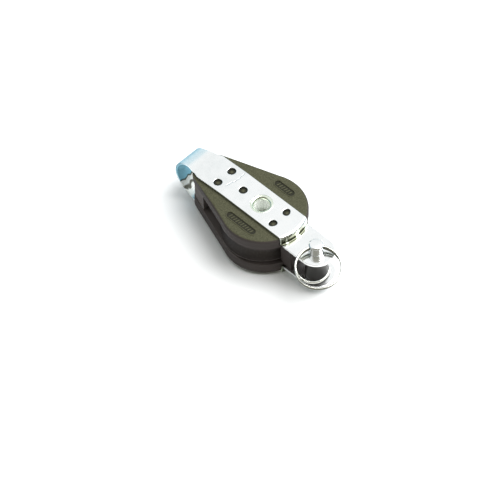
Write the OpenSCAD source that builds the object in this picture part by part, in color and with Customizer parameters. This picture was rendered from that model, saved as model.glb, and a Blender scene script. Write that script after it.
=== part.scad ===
// Single block with becket: a strapped pulley block with a fixed eye at its head and a pin at its tail.
// X runs from the head to the tail, Z along the axle. The origin is the middle of the axle.

/* [Strap] */
// Width of the strap, which is also the width of the ears
strap_w = 20; // [16:0.5:24]
// Thickness of the strap's metal
strap_t = 1.5; // [1:0.1:2]
// Distance over the two flat legs of the strap
over_straps = 30; // [28:0.5:36]
// Distance from the axle to the outside of the head
head_reach = 60; // [54:0.5:72]
// Distance from the axle to the bend where the legs lean inwards
lean_start = 21.5; // [16:0.5:24]
// Angle at which the legs lean inwards towards the head
lean_angle = 3.3; // [1:0.1:5]
// Width of the strap over the head
crown_w = 14.6; // [10:0.2:16]
// Distance from the axle to the place where the strap starts to narrow
neck_start = 39.5; // [36:0.5:42]
// Distance from the axle to the place where it has narrowed
neck_end = 52; // [46:0.5:53]
// Radius of the step behind the cheeks, about the centre of their round end
step_r = 24.8; // [24:0.1:27]
// Outside radius of the bend at the top of the step
step_top_r = 1.7; // [1.6:0.1:2.5]
// Inside radius of the bend at the foot of the step
step_foot_r = 0.8; // [0.5:0.1:1.2]
// Distance over the two ears
over_ears = 20; // [18:0.5:22]
// Distance from the axle to the becket pin
ear_reach = 41; // [38:0.5:50]

/* [Pegs] */
// Distance between the rows of small holes along the strap
peg_pitch = 14; // [12:0.5:14.5]
// Distance across between the two holes of a pair
peg_pair = 10.5; // [8:0.5:12]
// Diameter of the small holes in the strap
peg_hole_d = 4.8; // [4:0.1:5.5]
// Diameter of the moulded pegs
peg_d = 4.3; // [3:0.1:4.4]
// Depth of the peg's top below the strap's outer face
peg_sunk = 0.7; // [0.3:0.1:0.9]

/* [Cheeks] */
// Distance from the axle to the centre of the round end, towards the tail
cheek_offset = 1.7; // [0:0.1:2.5]
// Radius of the flat face's round end
cheek_r = 22.6; // [22:0.1:23]
// Angle of each straight flank to the length of the block
flank_angle = 18.7; // [17:0.1:20]
// Width of the slot between the two cheeks
slot_w = 13; // [13:0.5:14]
// How far the rounded side stands out from the flat face's edge
side_out = 1.5; // [1:0.1:2.4]
// How far the side's widest line lies below the flat face
side_drop = 1.6; // [1:0.1:3]
// How far the side draws in again towards the slot
side_in = 0.3; // [0.2:0.1:0.6]
// Distance from the axle to the cheeks' head end
cheek_head = 45.5; // [43:0.5:47]
// Radius of the cheeks' corners at the head end
cheek_head_corner = 6; // [1:0.5:7]
// Distance from the axle to the solid block at the head, where the rope passes
swallow = 32.5; // [30:0.5:36]
// How far that block's sides lie inside the cheeks' own
block_inset = 0.6; // [0.2:0.1:1]
// Distance from the axle to the end of the block at the tail
tail_end = 29.5; // [28:0.5:31]
// Width of the block at the tail
tail_w = 17; // [14:0.5:18]
// Inner radius of the pocket in the back of each cheek
pocket_inner_r = 13.6; // [13:0.1:15]
// Outer radius of the pocket in the back of each cheek
pocket_outer_r = 20; // [18:0.1:21]
// Depth of the pocket
pocket_depth = 3.5; // [1:0.5:4]
// Number of ribs across the pocket
pocket_ribs = 8; // [4:1:12]
// Thickness of those ribs
rib_t = 1.8; // [1:0.1:3]

/* [Badges] */
// Distance of the middle of both badges from the axle, towards the tail
badge_x = 0.5; // [-2:0.5:3]
// Length of the blank badge on the -Y side
long_badge = 22; // [16:0.5:24]
// Length of the blank badge on the +Y side
short_badge = 15; // [10:0.5:18]
// Width of both badges
badge_w = 5.2; // [4:0.1:6]
// Distance of the long badge's middle from the block's middle line
long_badge_y = 16.2; // [15.5:0.1:17]
// Distance of the short badge's middle from the block's middle line
short_badge_y = 16.9; // [15.5:0.1:17.5]
// Width of the badge's raised rim
badge_rim = 0.7; // [0.4:0.1:1]
// Height of that rim above the flat face
badge_rim_h = 0.25; // [0.1:0.05:0.5]
// Depth of the badge's floor below the flat face
badge_depth = 0.3; // [0.1:0.05:0.6]

/* [Sheave] */
// Diameter of the sheave
sheave_d = 46; // [44:0.5:46.5]
// Gap between the sheave and each cheek
sheave_gap = 0.3; // [0.3:0.1:0.8]
// Diameter at the bottom of the rope groove
throat_d = 35.2; // [34:0.2:37]
// Radius of the rope groove
groove_r = 5.3; // [4.5:0.1:5.4]
// Inner radius of the shallow dish in each side
dish_inner_r = 14; // [13.5:0.1:15]
// Outer radius of the shallow dish
dish_outer_r = 18.4; // [17:0.1:19]
// Depth of the dish
dish_depth = 0.8; // [0.2:0.1:1]

/* [Bearing] */
// Diameter of a bearing ball
ball_d = 3.1; // [2.6:0.1:3.2]
// Diameter of the circle that the balls' centres lie on
ball_circle_d = 22; // [21.5:0.1:22.5]
// Balls in one row
balls_per_row = 20; // [14:1:20]
// Distance of each row from the middle of the sheave
ball_row_z = 3; // [2.9:0.1:3.2]
// Gap between a ball and what it runs on
ball_gap = 0.05; // [0.02:0.01:0.1]
// Thickness of the sheave's rib between the rows
rib_between = 2.6; // [2:0.1:2.6]
// Gap between that rib and the race
rib_gap = 0.6; // [0.3:0.1:0.8]
// Thickness of a ball retainer
retainer_t = 1.4; // [1:0.1:1.4]

/* [Axle] */
// Outside diameter of the axle tube
axle_d = 10.4; // [9:0.1:10.6]
// Bore of the axle tube
axle_bore_d = 8.4; // [7:0.1:8.6]
// Diameter of the flare at each end
flare_d = 12.6; // [12:0.1:13.2]
// Depth of the flare
flare_depth = 1.3; // [1:0.1:1.4]

/* [Becket] */
// Diameter of the becket pin
pin_d = 8; // [6:0.5:9]
// Height of the pin's end above the ear
pin_rise = 6; // [5.5:0.1:8]
// Diameter of the pin's head under the far ear
pin_head_d = 11.2; // [10:0.2:13]
// Thickness of that head
pin_head_h = 1.8; // [1.2:0.1:2.5]
// Diameter of the cross hole for the ring
cross_hole_d = 3.7; // [3.6:0.1:4]
// Height of the cross hole's centre above the ear
cross_hole_rise = 2.9; // [2.9:0.1:3.4]
// Diameter of the bobbin's flanges
bobbin_d = 13.6; // [12:0.2:16]
// Diameter of the bobbin's waist
bobbin_waist_d = 12; // [10:0.2:13]
// Height of each flange
bobbin_flange_h = 1.6; // [1:0.1:3]

/* [Split ring] */
// Diameter of the ring's wire
wire_d = 1.3; // [1:0.1:1.3]
// Radius of the wire's centre line
ring_r = 12.4; // [10:0.1:14]
// Gap between the ring's two turns
turn_gap = 0.45; // [0.42:0.01:0.6]
// Direction of the ring from the pin, in degrees from the tail towards +Y
ring_heading = -40; // [-45:5:0]
// How far the ring hangs down from level
ring_tilt = 13; // [4:1:13]
// Angle that the wire runs through, from end to end
ring_sweep = 684; // [660:6:702]
// Angle of the free end, from the ring's far side towards +Y
free_end_angle = 76; // [60:2:90]
// Radius to which the sprung free end is bent in
free_end_r = 6.1; // [5:0.1:11]
// Angle over which that end is bent in
free_end_sweep = 175; // [120:5:180]

/* [Fits] */
// Radial clearance of what turns on a pin
running_gap = 0.08; // [0.04:0.01:0.1]
// Radial clearance of what is clamped on the axle
assembly_gap = 0.04; // [0.02:0.01:0.06]
// End clearance of what turns between two faces
end_gap = 0.2; // [0.1:0.05:0.3]

/* [Hidden] */
$fn = 64;
far = 200;
overlap = 0.5;
skin = 0.01;

// Heights on the +Z side, from the outside in
leg_out = over_straps / 2;
leg_in = leg_out - strap_t;
ear_out = over_ears / 2;
ear_in = ear_out - strap_t;
slot_half = slot_w / 2;

// The head: a half round that both leaning legs run into
crown_x = -(head_reach - leg_out * cos(lean_angle) - lean_start * sin(lean_angle)) / (1 - sin(lean_angle));
crown_r = head_reach + crown_x;
crown_in_r = crown_r - strap_t;
lean_in_x = -lean_start + strap_t * tan(lean_angle / 2);
neck_power = 1.7;

// Room round the sheave in front of the tail's block
sheave_room = 1;

// The flanks lie this little inside the round end's tangents, so that the two cross cleanly
flank_in = 0.08;

// The flare: its edge's depth below the strap's face, the flat ring round its mouth, the mouth's depth
flare_edge = 0.08;
flare_land = 0.6;
mouth_depth = 2;

// Rows of pegs: [distance along the block in pitches, distance across]
pegs = [
    [-2, peg_pair / 2], [-2, -peg_pair / 2], [-1, 0],
    [1, peg_pair / 2], [1, -peg_pair / 2]
];

// Width of the sheave, which runs between the cheeks
sheave_w = slot_w - 2 * sheave_gap;

// Radii of the bearing, from the axle out
race_r = ball_circle_d / 2 - ball_d / 2 - ball_gap;
sheave_bore_r = ball_circle_d / 2 + ball_d / 2 + ball_gap;
retainer_z = ball_row_z + ball_d / 2 + ball_gap;
retainer_gap = 0.3;

// The split ring's place: the wire's bow inside the pin is halved by the cross hole's middle line
ring_pitch = wire_d + turn_gap;
wire_bow = pin_d * pin_d / (8 * ring_r);
ring_centre = ring_r - wire_bow / 2;
hole_z = ear_out + cross_hole_rise;
ring_steps = ceil(ring_sweep / 15);
ring_sides = 6;

// Points of an arc from one angle to another
function arc(r, from, to, steps, centre = [0, 0]) =
    [for (i = [0:steps]) let (a = from + (to - from) * i / steps) centre + r * [cos(a), sin(a)]];
function mirrored(points) = [for (i = [len(points) - 1:-1:0]) [points[i][0], -points[i][1]]];
function ease(t) = t * t * (3 - 2 * t);

// How far the strap has leant in at a place along the block
function lean(x) = x < lean_in_x ? (lean_in_x - x) * tan(lean_angle) : 0;

// Half of the outline of the strap's side view, for its outer face or its inner one
function leg_line(half, radius, bend_x, join_x) = concat(
    [[join_x, half], [bend_x, half]],
    arc(radius, 90 + lean_angle, 180, 20, [crown_x, 0])
);
function leg_path(half, radius, bend_x, join_x) =
    let (top = leg_line(half, radius, bend_x, join_x))
    concat(top, [for (i = [len(top) - 2:-1:0]) [top[i][0], -top[i][1]]]);

// Half width of the strap at a place along its neck, from 0 to 1
function neck_half(t) = crown_w / 2 + (strap_w - crown_w) / 2 * pow(1 - t, neck_power);
function neck_line() =
    [for (i = [0:10]) [-neck_start - (neck_end - neck_start) * i / 10, neck_half(i / 10)]];

// Outline of the strap seen along the axle
module strap_plan() {
    head = concat([[ear_reach, strap_w / 2]], neck_line(), [[-head_reach - overlap, crown_w / 2]]);
    linear_extrude(far, center = true) union() {
        polygon(concat(head, mirrored(head)));
        translate([ear_reach, 0]) circle(strap_w / 2);
    }
}

// Section of one leg's tail, turned about the centre of the cheeks' round end
module step_section() {
    top_c = [step_r - step_top_r, leg_out - step_top_r];
    foot_c = [step_r + step_foot_r, ear_out + step_foot_r];
    polygon(concat(
        [[0, leg_out]],
        arc(step_top_r, 90, 0, 6, top_c),
        arc(step_foot_r, 180, 270, 5, foot_c),
        [[far / 2, ear_out], [far / 2, ear_in]],
        arc(step_foot_r + strap_t, 270, 180, 6, foot_c),
        arc(step_top_r - strap_t, 0, 90, 3, top_c),
        [[0, leg_in]]
    ));
}

module strap_tail(join_x) {
    intersection() {
        translate([cheek_offset, 0, 0]) rotate_extrude($fn = 128) step_section();
        translate([join_x, -far / 2, 0]) cube([far, far, far]);
    }
}

module strap() {
    join_x = peg_pitch / 2;
    color([0.86, 0.88, 0.9]) difference() {
        intersection() {
            union() {
                rotate([90, 0, 0]) linear_extrude(far, center = true) difference() {
                    polygon(leg_path(leg_out, crown_r, -lean_start, join_x));
                    polygon(leg_path(leg_in, crown_in_r, lean_in_x, join_x + overlap));
                }
                strap_tail(join_x);
                mirror([0, 0, 1]) strap_tail(join_x);
            }
            strap_plan();
        }
        for (side = [0, 1]) mirror([0, 0, side]) {
            for (p = pegs) translate([p[0] * peg_pitch, p[1], slot_half]) cylinder(h = far, d = peg_hole_d);
            translate([0, 0, slot_half]) cylinder(h = far, d = axle_d + 2 * assembly_gap);
            translate([0, 0, leg_out - flare_depth])
                cylinder(
                    h = flare_depth + skin,
                    d1 = axle_d + 2 * assembly_gap,
                    d2 = flare_d + 2 * assembly_gap
                );
        }
        translate([ear_reach, 0, 0]) cylinder(h = far, d = pin_d + 2 * running_gap, center = true);
    }
}

// Section of a cheek's side, as steps out from the flat face's edge and heights from that face
function side_line(drop) = concat(
    [for (i = [0:5]) let (a = 90 - 90 * i / 5) [side_out * cos(a), drop * (sin(a) - 1)]],
    [[side_out - side_in, slot_half - leg_in - overlap]]
);

// Everything on the inner side of one flank, with the cheek's side as its edge
module flank(s) {
    side = side_line(side_drop + flank_in);
    rotate([0, 0, s * (90 + flank_angle)]) translate([cheek_r - flank_in, 0, 0]) rotate([90, 0, 0])
        linear_extrude(far, center = true)
            polygon(concat([[-far / 2, side[6][1]], [-far / 2, 0]], side));
}

// The cheek's outside: a round end and the part between the two straight flanks
module cheek_outside() {
    side = side_line(side_drop);
    translate([cheek_offset, 0, leg_in]) intersection() {
        union() {
            rotate_extrude($fn = 128)
                polygon(concat([[0, side[6][1]], [0, 0]], [for (p = side) [cheek_r + p[0], p[1]]]));
            intersection() {
                flank(1);
                flank(-1);
                translate([-far - cheek_r * sin(flank_angle), -far / 2, -far / 2]) cube(far);
            }
        }
        translate([-far / 2, -far / 2, slot_half - leg_in]) cube(far);
    }
}

// Half width of the cheeks' flank, at a step out from the flat face's edge
function flank_half(x, out) =
    (cheek_r - flank_in + out) / cos(flank_angle) - (cheek_offset - x) * tan(flank_angle);

// The solid blocks at the head and the tail that meet the other cheek in the middle
module cheek_blocks() {
    out = side_out - side_in - block_inset;
    end = -cheek_head - overlap;
    linear_extrude(slot_half + overlap) polygon([
        [-swallow, flank_half(-swallow, out)], [-swallow, -flank_half(-swallow, out)],
        [end, -flank_half(end, out)], [end, flank_half(end, out)]
    ]);
    difference() {
        translate([0, -tail_w / 2, 0]) cube([tail_end, tail_w, ear_in - end_gap / 2]);
        cylinder(h = far, r = sheave_d / 2 + sheave_room, center = true);
    }
}

// A flat-topped stadium along X
module stadium(length, width, height) {
    translate([-(length - width) / 2, -width / 2, 0]) cube([length - width, width, height]);
    for (s = [1, -1]) translate([s * (length - width) / 2, 0, 0]) cylinder(h = height, d = width);
}

module badge_place(y) {
    translate([badge_x, y, leg_in]) children();
}

// Cut that ends the cheek at the head, with a round corner where it meets each flank
module head_end() {
    r = cheek_head_corner;
    centre = [-cheek_head + r, flank_half(-cheek_head + r, side_out) - r / cos(flank_angle)];
    linear_extrude(far, center = true) {
        translate([-far - cheek_head, -far / 2]) square(far);
        for (s = [0, 1]) mirror([0, s]) difference() {
            polygon([
                centre, centre + [-3 * r, 0], centre + [-3 * r, 3 * r],
                centre + 3 * r * [-sin(flank_angle), cos(flank_angle)]
            ]);
            translate(centre) circle(r);
        }
    }
}

module cheek() {
    difference() {
        union() {
            cheek_outside();
            cheek_blocks();
        }
        // the leaning leg rests on the face towards the head
        translate([lean_in_x, -far / 2, leg_in]) rotate([0, -lean_angle, 0])
            translate([-far, 0, 0]) cube([far, far, far]);
        // the strap steps down behind the round end
        intersection() {
            translate([cheek_offset, 0, 0]) difference() {
                translate([0, 0, ear_in - end_gap / 2]) cylinder(h = far, r = far / 2);
                cylinder(h = far, r = step_r - strap_t - end_gap / 2, $fn = 128);
            }
            translate([0, -strap_w / 2 - end_gap, 0]) cube([far, strap_w + 2 * end_gap, far]);
        }
        head_end();
        cylinder(h = far, d = axle_d + 2 * assembly_gap, center = true);
        badge_place(-long_badge_y) translate([0, 0, -badge_depth])
            stadium(long_badge - 2 * badge_rim, badge_w - 2 * badge_rim, far);
        badge_place(short_badge_y) translate([0, 0, -badge_depth])
            stadium(short_badge - 2 * badge_rim, badge_w - 2 * badge_rim, far);
        difference() {
            translate([0, 0, -far + slot_half + pocket_depth]) cylinder(h = far, r = pocket_outer_r);
            cylinder(h = far, r = pocket_inner_r, center = true);
            for (i = [1:pocket_ribs]) rotate([0, 0, (i - 0.5) * 360 / pocket_ribs])
                translate([0, -rib_t / 2, -far / 2]) cube([far, rib_t, far]);
            linear_extrude(slot_half - skin) square(far, center = true);
        }
    }
    peg_h = 3;
    for (p = pegs) {
        top = leg_out - peg_sunk - lean(p[0] * peg_pitch);
        translate([p[0] * peg_pitch, p[1], top - peg_h]) cylinder(h = peg_h, d = peg_d);
    }
    for (b = [[-long_badge_y, long_badge], [short_badge_y, short_badge]]) badge_place(b[0]) difference() {
        translate([0, 0, -badge_depth]) stadium(b[1], badge_w, badge_depth + badge_rim_h);
        translate([0, 0, -2 * badge_depth]) stadium(b[1] - 2 * badge_rim, badge_w - 2 * badge_rim, far);
    }
}

module upper_cheek() {
    color([0.36, 0.36, 0.31]) cheek();
}

module lower_cheek() {
    color([0.36, 0.36, 0.31]) mirror([0, 0, 1]) cheek();
}

// Half of the axle tube's section, from the middle to the flared end
function flare_half() = concat(
    [[axle_d / 2, 0], [axle_d / 2, leg_out - flare_depth]],
    [[flare_d / 2, leg_out - flare_edge], [flare_d / 2 - flare_edge, leg_out]],
    [for (i = [0:6]) let (a = 90 - 90 * i / 6)
        [axle_bore_d / 2 + (flare_d / 2 - flare_land - axle_bore_d / 2) * (1 - cos(a)),
         leg_out - mouth_depth * (1 - sin(a))]],
    [[axle_bore_d / 2, 0]]
);

module axle_tube() {
    color([0.8, 0.83, 0.8]) for (side = [0, 1]) mirror([0, 0, side])
        rotate_extrude() polygon(flare_half());
}

module inner_race() {
    color([0.75, 0.76, 0.78]) difference() {
        cylinder(h = slot_w, r = race_r, center = true);
        cylinder(h = far, d = axle_d + 2 * assembly_gap, center = true);
    }
}

module sheave() {
    bevel = 0.4;
    half = sheave_w / 2;
    rim = sheave_d / 2;
    groove_c = throat_d / 2 + groove_r;
    edge = acos((groove_c - rim) / groove_r);
    upper = [
        [race_r + rib_gap, 0], [race_r + rib_gap, rib_between / 2], [sheave_bore_r, rib_between / 2],
        [sheave_bore_r, half], [dish_inner_r, half],
        [dish_inner_r + dish_depth, half - dish_depth], [dish_outer_r - dish_depth, half - dish_depth],
        [dish_outer_r, half], [rim - bevel, half], [rim, half - bevel]
    ];
    groove = arc(groove_r, 180 - edge, 180, 10, [groove_c, 0]);
    color([0.09, 0.09, 0.09]) rotate_extrude($fn = 96) polygon(concat(
        upper, groove, mirrored(concat(upper, groove))
    ));
}

module ball_row(z) {
    for (i = [1:balls_per_row]) rotate([0, 0, i * 360 / balls_per_row])
        translate([ball_circle_d / 2, 0, z]) sphere(d = ball_d, $fn = 24);
}

module upper_ball_row() {
    color([0.92, 0.92, 0.9]) ball_row(ball_row_z);
}

module lower_ball_row() {
    color([0.92, 0.92, 0.9]) ball_row(-ball_row_z);
}

module ball_retainer() {
    translate([0, 0, retainer_z]) difference() {
        cylinder(h = retainer_t, r = sheave_bore_r - retainer_gap);
        cylinder(h = far, r = race_r + assembly_gap, center = true);
    }
}

module upper_ball_retainer() {
    color([0.2, 0.2, 0.2]) ball_retainer();
}

module lower_ball_retainer() {
    color([0.2, 0.2, 0.2]) mirror([0, 0, 1]) ball_retainer();
}

module becket_pin() {
    chamfer = 0.6;
    top = ear_out + pin_rise;
    head_end = -ear_out - end_gap - pin_head_h;
    color([0.84, 0.86, 0.88]) translate([ear_reach, 0, 0]) difference() {
        union() {
            translate([0, 0, head_end]) cylinder(h = pin_head_h, d = pin_head_d);
            translate([0, 0, head_end + overlap])
                cylinder(h = top - chamfer - head_end - overlap, d = pin_d);
            translate([0, 0, top - chamfer]) cylinder(h = chamfer, d1 = pin_d, d2 = pin_d - 2 * chamfer);
        }
        translate([0, 0, hole_z]) rotate([0, 0, ring_heading]) rotate([90, 0, 0])
            cylinder(h = far, d = cross_hole_d, center = true);
    }
}

module becket_bobbin() {
    bevel = 0.3;
    half = ear_in - end_gap;
    flange = bobbin_d / 2;
    waist = bobbin_waist_d / 2;
    inner = half - bobbin_flange_h;
    upper = concat(
        [[pin_d / 2 + running_gap, half], [flange - bevel, half], [flange, half - bevel]],
        [for (i = [0:8]) let (t = i / 8) [waist + (flange - waist) * pow(1 - t, 2), inner * (1 - t)]]
    );
    color([0.1, 0.1, 0.1]) translate([ear_reach, 0, 0]) rotate_extrude() polygon(concat(
        upper, [for (p = mirrored(upper)) if (p[1] < 0) p]
    ));
}

// A point of the ring's wire: how far round it is, how far out of the centre line and how far above it
function ring_point(s, out, above) =
    let (
        angle = free_end_angle - s,
        bent = s < free_end_sweep ? (ring_r - free_end_r) * (1 - ease(s / free_end_sweep)) : 0,
        radius = ring_r - bent + out,
        height = above - ring_pitch * (s - 180 - free_end_angle - 180) / 360,
        along = ring_centre + radius * cos(angle),
        across = radius * sin(angle),
        ahead = [cos(ring_heading) * cos(ring_tilt), sin(ring_heading) * cos(ring_tilt), -sin(ring_tilt)],
        aside = [-sin(ring_heading), cos(ring_heading), 0]
    )
    [ear_reach, 0, hole_z] + along * ahead + across * aside + height * cross(ahead, aside);

ring_points = [
    for (i = [0:ring_steps], j = [0:ring_sides - 1])
        let (a = j * 360 / ring_sides)
        ring_point(i * ring_sweep / ring_steps, wire_d / 2 * cos(a), wire_d / 2 * sin(a))
];
ring_faces = concat(
    [for (i = [0:ring_steps - 1], j = [0:ring_sides - 1], k = [0, 1])
        let (
            a = i * ring_sides + j,
            b = i * ring_sides + (j + 1) % ring_sides
        )
        k == 0 ? [a, b, b + ring_sides] : [a, b + ring_sides, a + ring_sides]],
    [for (j = [1:ring_sides - 2]) [0, j + 1, j]],
    [for (j = [1:ring_sides - 2]) let (c = ring_steps * ring_sides) [c, c + j, c + j + 1]]
);

module split_ring() {
    color([0.85, 0.87, 0.88]) polyhedron(ring_points, ring_faces);
}

// Least gap between the ring's turns, measured between points of its centre line
ring_gap = min([
    for (i = [0:ring_steps], j = [0:ring_steps]) if (j > i + ring_steps / 4)
        norm(ring_point(i * ring_sweep / ring_steps, 0, 0) - ring_point(j * ring_sweep / ring_steps, 0, 0))
]) - wire_d;
echo(least_ring_gap = ring_gap);

strap();
upper_cheek();
lower_cheek();
axle_tube();
inner_race();
sheave();
upper_ball_row();
lower_ball_row();
upper_ball_retainer();
lower_ball_retainer();
becket_pin();
becket_bobbin();
split_ring();
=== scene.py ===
"""Looks of a strapped single block with becket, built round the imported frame.

Each class makes one sub-assembly: the bent strap, the two moulded cheeks, the axle, the sheave with its
balls, the becket pin with its bobbin, and the split ring. The studio comes last. Shapes are drawn in
millimetres and written in metres, and angles are in degrees.
"""

import logging
import math
from collections.abc import Callable, Sequence
from dataclasses import dataclass, field
from enum import Enum
from functools import reduce
from typing import Any

import bmesh
import bpy
from bpy.types import Material, Mesh, Node, NodeSocket, NodeTree, Object
from mathutils import Matrix, Vector, geometry


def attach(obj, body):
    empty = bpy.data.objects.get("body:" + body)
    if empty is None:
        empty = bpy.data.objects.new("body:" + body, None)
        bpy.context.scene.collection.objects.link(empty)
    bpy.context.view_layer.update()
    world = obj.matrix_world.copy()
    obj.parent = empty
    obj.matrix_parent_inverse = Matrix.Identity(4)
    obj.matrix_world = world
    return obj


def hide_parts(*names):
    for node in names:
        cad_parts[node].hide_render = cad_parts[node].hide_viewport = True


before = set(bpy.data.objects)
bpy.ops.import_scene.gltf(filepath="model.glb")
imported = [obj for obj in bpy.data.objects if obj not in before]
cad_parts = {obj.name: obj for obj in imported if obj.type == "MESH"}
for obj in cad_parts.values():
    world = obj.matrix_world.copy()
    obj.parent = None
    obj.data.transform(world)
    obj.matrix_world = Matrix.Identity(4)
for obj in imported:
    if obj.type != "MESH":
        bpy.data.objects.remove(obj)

LOG = logging.getLogger("block")
MM = 0.001

Point = tuple[float, float]
Spot = tuple[float, float, float]
Colour = tuple[float, float, float]


def cosd(angle: float) -> float:
    """Return the cosine of degrees."""
    return math.cos(math.radians(angle))


def sind(angle: float) -> float:
    """Return the sine of degrees."""
    return math.sin(math.radians(angle))


def tand(angle: float) -> float:
    """Return the tangent of degrees."""
    return math.tan(math.radians(angle))


def blend(low: float, high: float, value: float) -> float:
    """Return a smooth step from 0 at low to 1 at high."""
    t = min(1.0, max(0.0, (value - low) / (high - low)))
    return t * t * (3 - 2 * t)


def spread(first: float, last: float, step: float) -> list[float]:
    """Return even values from first to last, about a step apart, both ends included."""
    count = max(1, round(abs(last - first) / step))
    return [first + (last - first) * i / count for i in range(count + 1)]


def circle(centre: Point, radius: float, count: int) -> list[Point]:
    """Return the points of a circle, counter-clockwise."""
    angles = [i * (2 * math.pi / count) for i in range(count)]
    return [(centre[0] + radius * math.cos(a), centre[1] + radius * math.sin(a)) for a in angles]


def arc(centre: Point, radius: float, start: float, end: float, steps: int) -> list[Point]:
    """Return the points of an arc between two angles."""
    angles = [start + (end - start) * i / steps for i in range(steps + 1)]
    return [(centre[0] + radius * cosd(a), centre[1] + radius * sind(a)) for a in angles]


def outward(loop: Sequence[Point]) -> list[Point]:
    """Return the outward unit normal at each point of a counter-clockwise loop."""
    normals = []
    for i, here in enumerate(loop):
        before, after = loop[i - 1], loop[(i + 1) % len(loop)]
        a = Vector((here[0] - before[0], here[1] - before[1])).normalized()
        b = Vector((after[0] - here[0], after[1] - here[1])).normalized()
        along = (a + b).normalized()
        normals.append((along.y, -along.x))
    return normals


def mirrored(upper: Sequence[Point], *middle: Point) -> list[Point]:
    """Return a profile's upper half, what is in its middle, and the upper half turned over."""
    return [*upper, *middle, *((radius, -height) for radius, height in reversed(upper))]


def inside(spot: Vector, loop: Sequence[Point]) -> bool:
    """Return whether a point lies inside a closed loop."""
    found = False
    for i, (x2, y2) in enumerate(loop):
        x1, y1 = loop[i - 1]
        if (y1 > spot[1]) != (y2 > spot[1]) and spot[0] < x1 + (spot[1] - y1) / (y2 - y1) * (x2 - x1):
            found = not found
    return found


@dataclass(frozen=True)
class Sizes:
    """The sizes that several sub-assemblies share, in millimetres."""

    strap_w: float = 20.0
    strap_t: float = 1.5
    leg_out: float = 15.0
    ear_out: float = 10.0
    ear_x: float = 41.0
    lean_start: float = 21.48
    lean_deg: float = 3.3
    crown_x: float = -46.46
    crown_r: float = 13.54
    cheek_x: float = 1.7
    cheek_r: float = 22.6
    slot_half: float = 6.5
    axle_r: float = 5.2
    axle_bore_r: float = 4.2
    flare_r: float = 6.3
    pin_r: float = 4.0
    hole_z: float = 12.9
    ring_heading: float = -40.0
    ring_tilt: float = 13.0
    ring_r: float = 12.34

    @property
    def leg_in(self) -> float:
        """Height of the strap's inner face over the block's middle."""
        return self.leg_out - self.strap_t

    @property
    def cross_hole(self) -> Spot:
        """Middle of the pin's cross hole."""
        return self.ear_x, 0.0, self.hole_z

    @property
    def ring_axes(self) -> tuple[Vector, Vector, Vector]:
        """The resting split ring's directions away from the pin, across and out of its plane."""
        way, dip = self.ring_heading, self.ring_tilt
        ahead = Vector((cosd(way) * cosd(dip), sind(way) * cosd(dip), -sind(dip)))
        aside = Vector((-sind(way), cosd(way), 0))
        return ahead, aside, ahead.cross(aside)

    @property
    def ring_reach(self) -> float:
        """Distance of the ring's centre from the cross hole, less half the bow of the wire in it."""
        return self.ring_r - (2 * self.pin_r) ** 2 / (16 * self.ring_r)

    def lean(self, x: float) -> float:
        """Return how far the strap has leant in at a place along the block."""
        return max(0.0, -self.lean_start - x) * tand(self.lean_deg)


SIZES = Sizes()
PEGS: tuple[Point, ...] = ((-28.0, 5.25), (-28.0, -5.25), (-14.0, 0.0), (14.0, 5.25), (14.0, -5.25))


@dataclass(frozen=True)
class Badge:
    """A blank badge: a sunk stadium with a raised rim.

    Attributes:
        section: Distances in from the outline and heights over the flat face, up to the floor.
    """

    x: float
    y: float
    length: float
    width: float = 5.2
    rim: float = 0.7
    depth: float = 0.3
    section: tuple[Point, ...] = ((0, 0), (0.03, 0.14), (0.12, 0.22), (0.26, 0.25), (0.44, 0.25),
                                  (0.58, 0.21), (0.67, 0.12))

    def loop(self) -> list[Point]:
        """Return the badge's outline, counter-clockwise."""
        reach, radius = (self.length - self.width) / 2, self.width / 2
        return (arc((self.x + reach, self.y), radius, -90, 90, 20)
                + arc((self.x - reach, self.y), radius, 90, 270, 20))


BADGES = (Badge(0.5, -16.2, 22.0), Badge(0.5, 16.9, 15.0))


class Slot(Enum):
    """The record's material slots."""

    STRAP = "polished_steel"
    AXLE = "axle_steel"
    WIRE = "wire_steel"
    CHEEK = "cheek_plastic"
    SHEAVE = "sheave_plastic"
    BOBBIN = "bobbin_plastic"
    BALL = "ball_plastic"


class Side(Enum):
    """The two cheeks, by the sign of their heights."""

    UPPER = 1
    LOWER = -1


# --- node graphs


def operation(name: str) -> Callable[..., "Term"]:
    """Return a method that does one maths operation on a term and what it is given."""
    def apply(term: "Term", *others: "Term | float") -> "Term":
        """Do the operation."""
        return term.graph.math(name, term, *others)
    return apply


class Term:
    """A number inside a node graph that takes part in Python expressions.

    sin and cos are of radians, size is the value without its sign, and least and most pick one of two.
    """

    def __init__(self, graph: "Graph", socket: NodeSocket) -> None:
        """Wrap an output socket of a graph."""
        self.graph = graph
        self.socket = socket

    __add__ = __radd__ = operation("ADD")
    __sub__ = operation("SUBTRACT")
    __mul__ = __rmul__ = operation("MULTIPLY")
    __truediv__ = operation("DIVIDE")
    sin, cos, size = operation("SINE"), operation("COSINE"), operation("ABSOLUTE")
    least, most = operation("MINIMUM"), operation("MAXIMUM")

    def __rsub__(self, other: float) -> "Term":
        """Return the difference from a number."""
        return self.graph.math("SUBTRACT", other, self)

    def hypot(self, other: "Term") -> "Term":
        """Return the length of the diagonal over this and another term."""
        return self.graph.math("SQRT", self * self + other * other)

    def step(self, low: float, high: float) -> "Term":
        """Return a smooth step from 0 at low to 1 at high, whichever is the larger."""
        node = self.graph.node("ShaderNodeMapRange", {0: self, 1: low, 2: high, 3: 0.0, 4: 1.0},
                               interpolation_type="SMOOTHSTEP")
        return Term(self.graph, node.outputs[0])


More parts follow.
